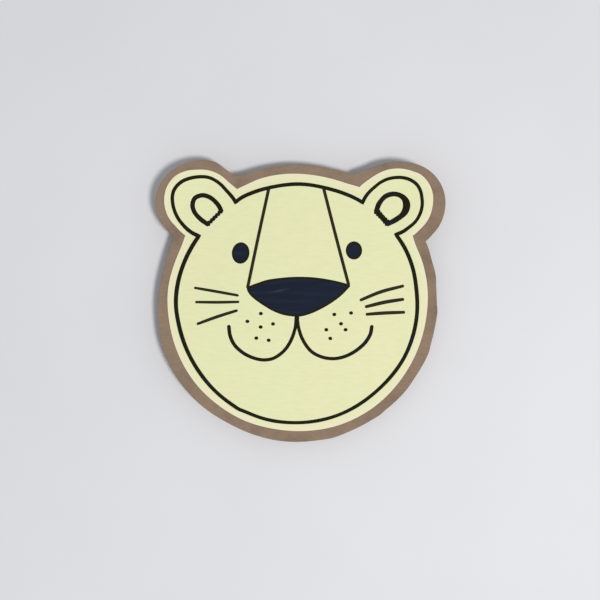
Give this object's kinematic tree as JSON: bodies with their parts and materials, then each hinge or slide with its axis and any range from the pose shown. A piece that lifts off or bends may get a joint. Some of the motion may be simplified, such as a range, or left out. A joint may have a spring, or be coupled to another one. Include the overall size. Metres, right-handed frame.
{
  "type": "paper bag puppet",
  "caption": "Flat animal-head hand puppet: a cut card face glued to the turned-over flap of a small gusseted kraft paper bag that takes a hand.",
  "frame": {"origin": "under the middle of the head's outline, on the surface that the bag's back lies on", "axes": "+Z out of the face, +Y towards the ears, +X towards the ear on the right as the face is looked at; the bag's open end faces -Y"},
  "size_m": [0.1578, 0.1565, 0.0113],
  "materials": {
    "kraft_paper": "unbleached kraft bag paper, matt, with fine ribs and fibres",
    "kraft_card": "grey-brown kraft card, matt",
    "cream_card": "pale cream-yellow craft card, matt",
    "marker_ink": "dry black felt-tip ink, slight sheen"
  },
  "bodies": {
    "bag_back": {"back_panel": "kraft_paper", "back_fold": "kraft_paper", "back_seam_lap": "kraft_paper"},
    "bag_front": {"front_panel": "kraft_paper"},
    "gusset_left_rear": {"left_rear_gusset": "kraft_paper"},
    "gusset_left_front": {"left_front_gusset": "kraft_paper"},
    "gusset_right_rear": {"right_rear_gusset": "kraft_paper"},
    "gusset_right_front": {"right_front_gusset": "kraft_paper"},
    "head_flap": {"flap_outer_panel": "kraft_paper", "flap_fold": "kraft_paper", "flap_inner_panel": "kraft_paper", "flap_bottom_hem": "kraft_paper", "flap_left_gusset": "kraft_paper", "flap_right_gusset": "kraft_paper", "head_backing": "kraft_card", "face_sheet": "cream_card", "outline_line": "marker_ink", "left_inner_ear": "marker_ink", "right_inner_ear": "marker_ink", "left_bridge_line": "marker_ink", "right_bridge_line": "marker_ink", "left_eye": "marker_ink", "right_eye": "marker_ink", "nose": "marker_ink", "mouth_centre_line": "marker_ink", "left_mouth_line": "marker_ink", "right_mouth_line": "marker_ink", "left_whisker_1": "marker_ink", "left_whisker_2": "marker_ink", "left_whisker_3": "marker_ink", "right_whisker_1": "marker_ink", "right_whisker_2": "marker_ink", "right_whisker_3": "marker_ink", "left_dot_1": "marker_ink", "left_dot_2": "marker_ink", "left_dot_3": "marker_ink", "left_dot_4": "marker_ink", "left_dot_5": "marker_ink", "left_dot_6": "marker_ink", "right_dot_1": "marker_ink", "right_dot_2": "marker_ink", "right_dot_3": "marker_ink", "right_dot_4": "marker_ink", "right_dot_5": "marker_ink", "right_dot_6": "marker_ink"}
  },
  "joints": [
    {"name": "bag_opening", "type": "hinge", "parent": "bag_back", "child": "bag_front", "pos_m": [-0.0016, 0.06143, 0.0052], "axis": [-1, 0, 0], "range_deg": [0, 10]},
    {"name": "head_flap_fold", "type": "hinge", "parent": "bag_front", "child": "head_flap", "pos_m": [-0.0016, 0.06143, 0.0052], "axis": [-1, 0, 0], "range_deg": [0, 50]},
    {"name": "left_rear_crease", "type": "hinge", "parent": "bag_back", "child": "gusset_left_rear", "pos_m": [-0.0516, 0.06143, 0.00075], "axis": [0, -1, 0], "range_deg": [0, 24]},
    {"name": "right_rear_crease", "type": "hinge", "parent": "bag_back", "child": "gusset_right_rear", "pos_m": [0.0484, 0.06143, 0.00075], "axis": [0, 1, 0], "range_deg": [0, 24]},
    {"name": "left_front_crease", "type": "hinge", "parent": "bag_front", "child": "gusset_left_front", "pos_m": [-0.0516, 0.06139, 0.00415], "axis": [0, 0.9993, -0.0384], "range_deg": [0, 24]},
    {"name": "right_front_crease", "type": "hinge", "parent": "bag_front", "child": "gusset_right_front", "pos_m": [0.0484, 0.06139, 0.00415], "axis": [0, -0.9993, 0.0384], "range_deg": [0, 24]}
  ],
  "couplings": [
    {"joint": "left_rear_crease", "follows": "bag_opening", "ratio": 2.4},
    {"joint": "right_rear_crease", "follows": "bag_opening", "ratio": 2.4},
    {"joint": "left_front_crease", "follows": "bag_opening", "ratio": 2.4},
    {"joint": "right_front_crease", "follows": "bag_opening", "ratio": 2.4}
  ]
}
